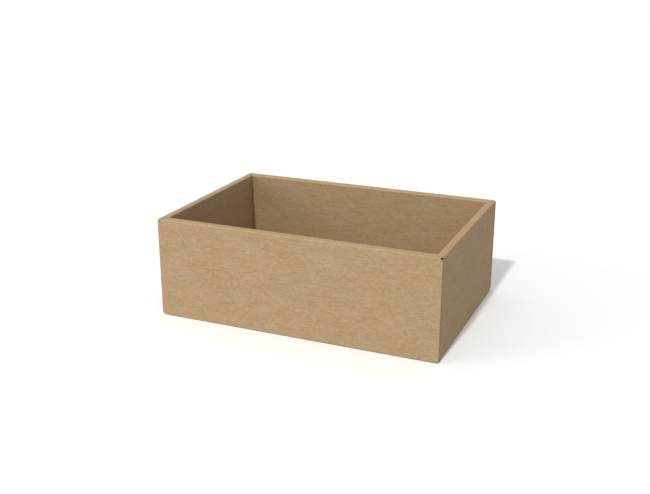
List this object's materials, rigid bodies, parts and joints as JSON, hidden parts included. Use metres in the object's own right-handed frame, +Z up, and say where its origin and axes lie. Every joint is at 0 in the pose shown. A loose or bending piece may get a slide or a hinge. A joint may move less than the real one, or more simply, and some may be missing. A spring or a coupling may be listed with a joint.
{
  "type": "self-locking slotted box",
  "caption": "Open shallow cardboard box folded from a single sheet, with double roll-over walls held down by tabs in slots of its base.",
  "frame": {"origin": "middle of the footprint, on the surface that the box stands on", "axes": "+X along the long walls, +Y along the short walls from the front to the back, +Z up"},
  "size_m": [0.308, 0.208, 0.108],
  "materials": {
    "kraft_board": "matt uncoated brown kraft liner"
  },
  "bodies": {
    "root": {"tray": "kraft_board"}
  },
  "joints": []
}
